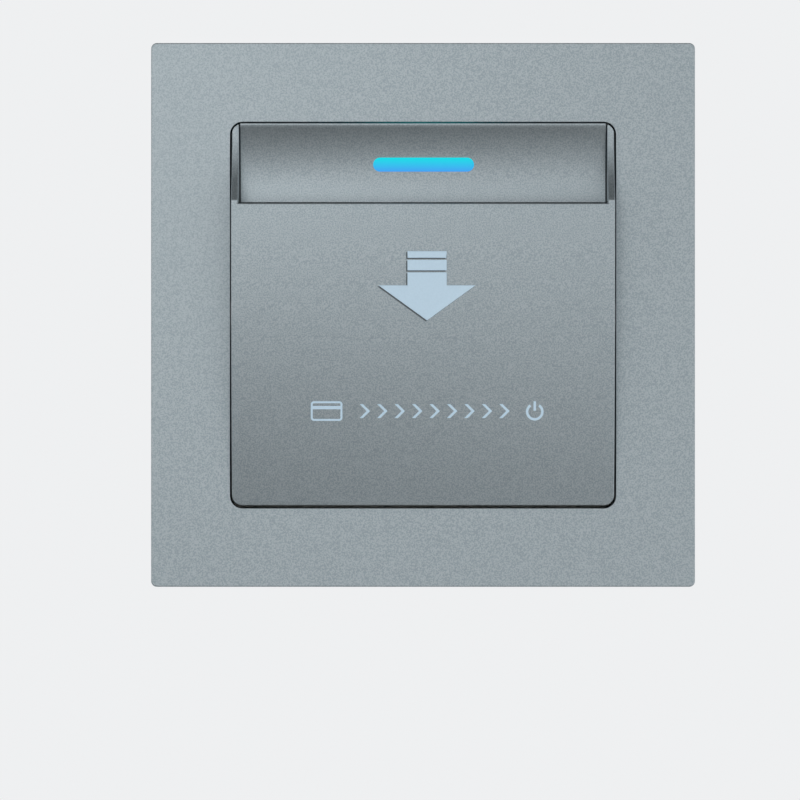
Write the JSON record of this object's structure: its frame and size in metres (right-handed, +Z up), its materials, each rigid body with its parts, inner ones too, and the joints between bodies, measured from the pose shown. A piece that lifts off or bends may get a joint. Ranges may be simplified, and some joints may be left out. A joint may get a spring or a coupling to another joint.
{
  "type": "hotel key card switch",
  "caption": "Square wall switch with a card pocket behind a bowed cover, a hollowed finger recess and a lit bar, on a screwed base with a rear relay housing.",
  "frame": {"origin": "midway between the two wall screws, on the wall's surface", "axes": "+Z up, +X to the right seen from the room, +Y into the wall, so the front faces -Y"},
  "size_m": [0.086, 0.046, 0.086],
  "materials": {
    "face_grey": "satin, sprayed with a fine grey metal flake",
    "indicator_blue": "translucent, lit from behind",
    "base_white": "moulded",
    "trigger_white": "moulded",
    "housing_black": "moulded, finely textured",
    "terminal_black": "moulded",
    "switch_black": "moulded",
    "button_red": "moulded",
    "steel": "zinc plated",
    "tinned_steel": "tinned",
    "brass": "plain",
    "board_green": "solder mask",
    "lamp_clear": "clear epoxy",
    "relay_blue": "moulded",
    "film_yellow": "moulded",
    "can_blue": "shrink sleeve",
    "varistor_blue": "dipped",
    "chip_black": "moulded",
    "resistor_tan": "lacquered"
  },
  "bodies": {
    "base": {"base_plate": "base_white", "rear_housing": "housing_black", "terminal_block": "terminal_black", "switch_body": "switch_black", "housing_screws": "steel", "trigger_pin": "steel", "return_spring": "steel", "switch_pins": "tinned_steel", "terminal_screws": "tinned_steel", "terminal_clamps": "brass", "circuit_board": "board_green", "indicator_leds": "lamp_clear", "relay": "relay_blue", "film_capacitor": "film_yellow", "electrolytic_capacitor": "can_blue", "varistor": "varistor_blue", "bridge_rectifier": "chip_black", "control_chip": "chip_black", "resistors": "resistor_tan"},
    "front": {"trim_frame": "face_grey", "pocket_cover": "face_grey", "scoop_panel": "face_grey", "indicator_lens": "indicator_blue", "front_screws": "steel"},
    "trigger": {"card_trigger": "trigger_white"},
    "plunger": {"switch_plunger": "button_red"}
  },
  "joints": [
    {"name": "front_unclip", "type": "slide", "parent": "base", "child": "front", "axis": [0, -1, 0], "range_m": [0, 0.03]},
    {"name": "trigger_swing", "type": "hinge", "parent": "base", "child": "trigger", "pos_m": [0, 0.0028, 0.0013], "axis": [1, 0, 0], "range_deg": [0, 8], "stiffness_Nm_per_rad": 0.03, "springref_deg": -5.73, "deforming": ["return_spring"]},
    {"name": "plunger_press", "type": "slide", "parent": "base", "child": "plunger", "axis": [0, 1, 0], "range_m": [0, 0.0012]}
  ],
  "couplings": [
    {"joint": "plunger_press", "follows": "trigger_swing", "m_per_rad": 0.0082}
  ]
}
